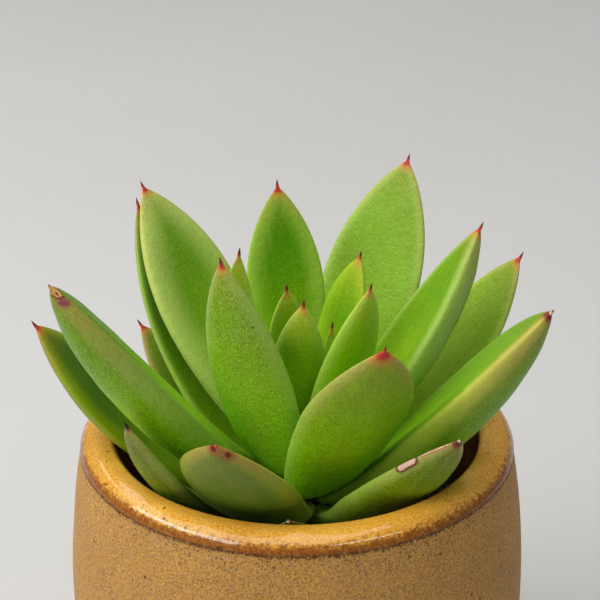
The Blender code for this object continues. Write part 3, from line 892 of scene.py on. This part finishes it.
def potProfile():
    rim, neck = pot["height"], pot["height"] - pot["neckBelowRim"]
    base, rounding, splay = pot["baseRadius"], pot["baseRounding"], radians(pot["footSplay"])
    footRadius, footHeight = base + rounding * cos(splay), rounding * (1 - sin(splay))
    belly = rim - pot["bellyBelowRim"]

    def bodyRadius(height):
        if height > belly:
            share = (height - belly) / (neck - belly)
            return pot["bellyRadius"] - (pot["bellyRadius"] - pot["neckRadius"]) * share ** 2
        share = (belly - height) / (belly - footHeight)
        return pot["bellyRadius"] - (pot["bellyRadius"] - footRadius) * share ** 2.2

    inner, crown, lip = pot["cavityRadius"], pot["lipCrownRadius"], pot["lipInnerRounding"]
    floor, floorRadius, corner = pot["cavityFloor"], pot["cavityFloorRadius"], pot["cavityCorner"]
    wallFoot, wallTop = floor + corner, rim - pot["wallBelowRim"]
    steps = 90
    heights = [neck + (footHeight - neck) * (i / steps) ** 1.4 for i in range(1, steps)]
    return ([(floorRadius * i / 6, floor) for i in range(6)]
            + arc(floorRadius, wallFoot, inner - floorRadius, corner, -90, 0, 14)
            + [(inner, wallFoot + (wallTop - wallFoot) * i / 24) for i in range(1, 24)]
            + arc(inner + lip, rim - lip - 0.1, lip, lip, 180, 100, 10)
            + arc(crown, neck, pot["neckRadius"] - crown, pot["neckBelowRim"], 90, 0, 26)
            + [(bodyRadius(height), height) for height in heights]
            + arc(base, rounding, rounding, rounding, -pot["footSplay"], -90, 10)
            + [(base * (1 - i / 6), 0) for i in range(1, 7)])


def potShift(point):
    # a little unevenness outside, and the bead where the lip's glaze ends
    away = Vector((point.x, point.y, 0))
    if away.length < pot["cavityRadius"] + 0.2 or point.z < 3:
        return point
    out = away.normalized()
    slack = smoothStep(away.length, pot["cavityRadius"], pot["lipCrownRadius"])
    sway = pot["uneven"] * wobble((point.x, point.y, point.z * 1.6), 16, 2) * slack
    line = pot["height"] - pot["neckBelowRim"] + pot["beadAboveNeck"] + 0.35 * wobble(out * 30, 9, 5)
    offset = (point.z - line) / pot["beadHeight"]
    bead = pot["bead"] * exp(-offset * offset) if away.length > pot["lipCrownRadius"] + 2 else 0
    return point + out * (sway + bead) * smoothStep(point.z, 3, 8)


def glazeMaterial():
    material, shader, spot = newMaterial("stoneware glaze")
    x, y, z = addNode("SeparateXYZ", {0: spot}).outputs
    away = vectorCalc("LENGTH", addNode("CombineXYZ", {0: x, 1: y}).outputs[0])
    neck = (pot["height"] - pot["neckBelowRim"]) * mm
    drop = times(minus(neck, z), 1000)  # mm below the neck
    inner = calc("LESS_THAN", away, (pot["cavityRadius"] + 0.5) * mm)
    fine, fineGrain = mottled(spot, 1500, 3600, 0.14)
    broad, broadGrain = mottled(spot, 90, 2300, 0.16)

    # the lip's glossy amber, finely speckled, and the deeper band under it
    above = raggedMask(drop, glaze["bandAt"], glaze["bandBlend"], spot, 1300, 1)
    amber = layered(glaze, glaze["lip"], ("lipOrange", fine, 0.5), ("lipPale", broad, 0.25),
                    ("lipOrange", fineGrain, 0.48), ("lipPale", broadGrain, 0.45),
                    ("lipSpeck", dots(spot, 1900, 0.3, 0.36), 0.6),
                    ("band", minus(1, above), remap(fine, 0, 1, 0.97, 0.78)))

    # the body's satin tan, with amber and brown mottling, and grit that crowds under the lip
    tan = layered(glaze, glaze["body"], ("bodyGrey", broad, 0.5), ("bodyAmber", fine, 0.6),
                  ("grit", broadGrain, 0.55), ("bodyAmber", fineGrain, 0.35),
                  ("grit", dots(spot, 2000, 0.42, 0.55), 0.85, remap(drop, 0.5, glaze["denseReach"], 1, 0.6)))

    # the ragged dark edge where the two meet, and the pits
    onLip = calc("MAXIMUM", raggedMask(drop, glaze["edgeAt"], 0.2, spot, 1500, 0.5), inner)
    below = raggedMask(drop, glaze["edgeAt"] + glaze["edgeWidth"], 0.35, spot, 1900, 0.8)
    edge = times(remap(drop, -0.7, 0), below, minus(1, inner))
    pits = dots(spot, 480, 0.15, 0.2)
    colour = layered(glaze, tint(tan, amber, onLip), ("edge", edge, 0.82), ("pits", pits, 0.8))

    rough = mixValue(onLip, glaze["bodyRoughness"], glaze["lipRoughness"])
    rough = mixValue(edge, calc("ADD", rough, times(fineGrain, 0.1)), 0.7)
    normal = bump(minus(times(fineGrain, 0.3), pits), 0.15, 0.00015)
    normal = bump(times(broadGrain, minus(1, onLip)), 0.25, 0.00025, normal)
    normal = bump(broad, 0.05, 0.0006, normal)
    fill(shader, dict(baseColor=colour, roughness=rough, normal=normal, specularIorLevel=glaze["shine"],
                      coatWeight=times(onLip, remap(edge, 0, 1, glaze["coat"], 0)),
                      coatRoughness=glaze["coatRoughness"]))
    return material


def buildPot():
    piece = addPiece("pot_fine", lathe("pot_fine", potProfile(), pot["around"], potShift), glazeMaterial())
    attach(piece, "root")
    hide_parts("pot")
    print("pot:", len(piece.data.polygons), "faces")


buildPot()


# soil: lengths in mm

soil = dict(
    around=150, rows=44,
    belowRim=24, rise=4,  # the middle is this far under the rim, and the edge this much higher
    sideTop=50, gap=0.3, lumps=0.55, holeAbove=10,
    crumbs=420, crumbSize=(0.5, 1.7), crumbStretch=(1.25, 0.8, 0.55),
    crumbSpace=0.4,  # kept free round a crumb
    dark=(34, 25, 18), brown=(70, 50, 34), grey=(96, 84, 70),
)


def soilTop(x, y):
    away = (x * x + y * y) ** 0.5
    level = pot["height"] - soil["belowRim"] + soil["rise"] * min(1, away / pot["cavityRadius"]) ** 2
    return level + soil["lumps"] * (wobble((x, y, 0), 3.2, 8) + 0.6 * wobble((x, y, 0), 1.3, 9) - 0.4)


def soilMaterial(name, first, second):
    material, shader, spot = newMaterial(name)
    patches, grain = mottled(spot, 500, 2400, 0.14)
    colour = layered(soil, soil[first], (second, patches), ("dark", grain, 0.5),
                     ("grey", dots(spot, 900, 0.3, 0.12), 0.5))
    fill(shader, dict(baseColor=colour, roughness=remap(grain, 0, 1, 0.82, 0.98),
                      normal=bump(grain, 0.8, 0.0005)))
    return material


def buildSoil():
    gap, rows, sideTop = soil["gap"], soil["rows"], soil["sideTop"]
    edge, floor = pot["cavityRadius"] - gap, pot["cavityFloor"] + gap
    floorRadius, corner = pot["cavityFloorRadius"], pot["cavityCorner"]
    profile = ([(edge * i / rows, 0) for i in range(rows + 1)]
               + [(edge, sideTop - (sideTop - floor - corner) * i / 6) for i in range(6)]
               + arc(floorRadius, floor + corner, edge - floorRadius, corner, 0, -90, 8) + [(0, floor)])

    def shift(point):
        # the top is laid out at height 0 and lifted to the lumpy surface
        return Vector((point.x, point.y, soilTop(point.x, point.y))) if point.z == 0 else point

    piece = addPiece("soil_fine", lathe("soil_fine", profile, soil["around"], shift),
                     soilMaterial("potting mix", "dark", "brown"))
    # the plain hole that the root stands in
    length, radius = rosette["rootLength"] + gap + soil["holeAbove"], (rosette["rootRadius"] + gap) * mm
    shape = bmesh.new()
    bmesh.ops.create_cone(shape, cap_ends=True, segments=48, radius1=radius, radius2=radius,
                          depth=length * mm)
    bmesh.ops.translate(shape, verts=shape.verts, vec=(0, 0, (soil["holeAbove"] - length / 2) * mm))
    hole = newObject("root hole", meshFromShape("root hole", shape))
    hole.matrix_world = rosetteMatrix
    cut = piece.modifiers.new("Root hole", "BOOLEAN")
    cut.operation = "DIFFERENCE"
    cut.object = hole
    applyModifiers(piece)
    bpy.data.objects.remove(hole, do_unlink=True)
    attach(piece, "root")
    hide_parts("soil")
    print("soil:", len(piece.data.polygons), "faces")


def buildCrumbs(nearby):
    # bark crumbs and grit half sunk in the mix, kept off the leaves, the stem and the pot
    trees = [BVHTree.FromPolygons([vertex.co for vertex in piece.data.vertices],
                                  [face.vertices for face in piece.data.polygons]) for piece in nearby]
    smallest, largest = soil["crumbSize"]
    stretch = Vector(soil["crumbStretch"])
    points, faces, made = [], [], 0
    for i in range(soil["crumbs"]):
        turn = radians(rosette["goldenAngle"] * i)
        away = 9 + 26 * ((i + 0.5) / soil["crumbs"]) ** 0.5
        chance = 0.5 + 0.5 * wobble((i * 1.7, 0.3, 0.9), 1, 12)
        size = smallest + (largest - smallest) * chance ** 2
        x, y = away * cos(turn), away * sin(turn)
        centre = Vector((x, y, soilTop(x, y) + 0.15 * size))
        reach = (size + soil["crumbSpace"]) * mm
        if (away + size > pot["cavityRadius"] - 0.5
                or any(tree.find_nearest(centre * mm, reach)[0] is not None for tree in trees)):
            continue
        shape = bmesh.new()
        bmesh.ops.create_icosphere(shape, subdivisions=2, radius=size)
        spin = Matrix.Rotation(i * 2.4, 3, "Z") @ Matrix.Rotation(0.5 * chance, 3, "X")
        first = len(points)
        for vertex in shape.verts:
            bulge = 1 + 0.28 * wobble(vertex.co / size, 0.8, i * 0.37)
            local = spin @ Vector([c * s * bulge for c, s in zip(vertex.co, stretch)])
            points.append((centre + local) * mm)
        faces += [tuple(first + vertex.index for vertex in face.verts) for face in shape.faces]
        shape.free()
        made += 1
    mesh = meshFrom("soil_crumbs", points, faces)
    piece = addPiece("soil_crumbs", mesh, soilMaterial("bark crumbs", "brown", "grey"))
    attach(piece, "root")
    print("crumbs:", made)


buildSoil()
buildCrumbs(leafPieces + [stemPiece])


# floor, light and camera

floorLook = dict(
    side=8.0,  # metres
    colour=(194, 193, 191),
    second=(187, 186, 184),
    roughness=(0.65, 0.75),
)

# places are (turn, climb, distance): degrees from the front, -Y, towards +X; degrees up; metres
lamps = [
    dict(name="window left", place=(-64, 36, 0.8), size=(0.85, 0.2), watts=4.2, tint=(1, 0.985, 0.96)),
    dict(name="window right", place=(39, 42, 0.8), size=(0.45, 0.06), watts=0.7, tint=(0.98, 0.99, 1)),
    dict(name="softbox above", place=(-105, 74, 0.95), size=(1.7, 1.4), watts=16.2, tint=(1, 1, 0.98)),
]

air = dict(color=(0.95, 0.97, 1, 1), strength=0.12)

lens = dict(
    place=(0.0006, -0.3783, 0.2905),
    down=25.75,  # degrees below level
    focalPixels=2148,  # for a picture imageSide pixels wide
    sensor=36.0,
)


def buildStage():
    half = floorLook["side"] / 2
    mesh = meshFrom("floor", [(-half, -half, 0), (half, -half, 0), (half, half, 0), (-half, half, 0)],
                    [(0, 1, 2, 3)])
    material, shader, spot = newMaterial("pale floor")
    patches, grain = mottled(spot, 1.2, 160, 0.25)
    fill(shader, dict(baseColor=layered(floorLook, floorLook["colour"], ("second", patches)),
                      roughness=remap(grain, 0, 1, *floorLook["roughness"]), specularIorLevel=0.3,
                      normal=bump(grain, 0.05, 0.0005)))
    addPiece("floor", mesh, material)


def buildLights():
    target = Vector((0, 0, 0.09))
    for lamp in lamps:
        turn, climb, distance = radians(lamp["place"][0]), radians(lamp["place"][1]), lamp["place"][2]
        way = Vector((sin(turn) * cos(climb), -cos(turn) * cos(climb), sin(climb)))
        light = bpy.data.lights.new(lamp["name"], "AREA")
        light.shape = "RECTANGLE"
        light.size, light.size_y = lamp["size"]
        light.energy = lamp["watts"]
        light.color = lamp["tint"]
        holder = newObject(lamp["name"], light)
        holder.location = target + way * distance
        holder.rotation_euler = (-way).to_track_quat("-Z", "Y").to_euler()
    world = bpy.data.worlds.new("soft air")
    scene.world = world
    world.use_nodes = True
    fill(world.node_tree.nodes["Background"], air)


def buildCamera():
    data = bpy.data.cameras.new("camera")
    data.sensor_fit = "HORIZONTAL"
    data.sensor_width = lens["sensor"]
    data.lens = lens["focalPixels"] * lens["sensor"] / imageSide
    data.clip_start = 0.01
    data.clip_end = 50
    camera = newObject("camera", data)
    camera.location = lens["place"]
    camera.rotation_euler = (radians(90 - lens["down"]), 0, 0)
    scene.camera = camera


buildStage()
buildLights()
buildCamera()
scene.view_settings.view_transform = "Standard"
scene.view_settings.look = "None"
print("stage, lights and camera ready")
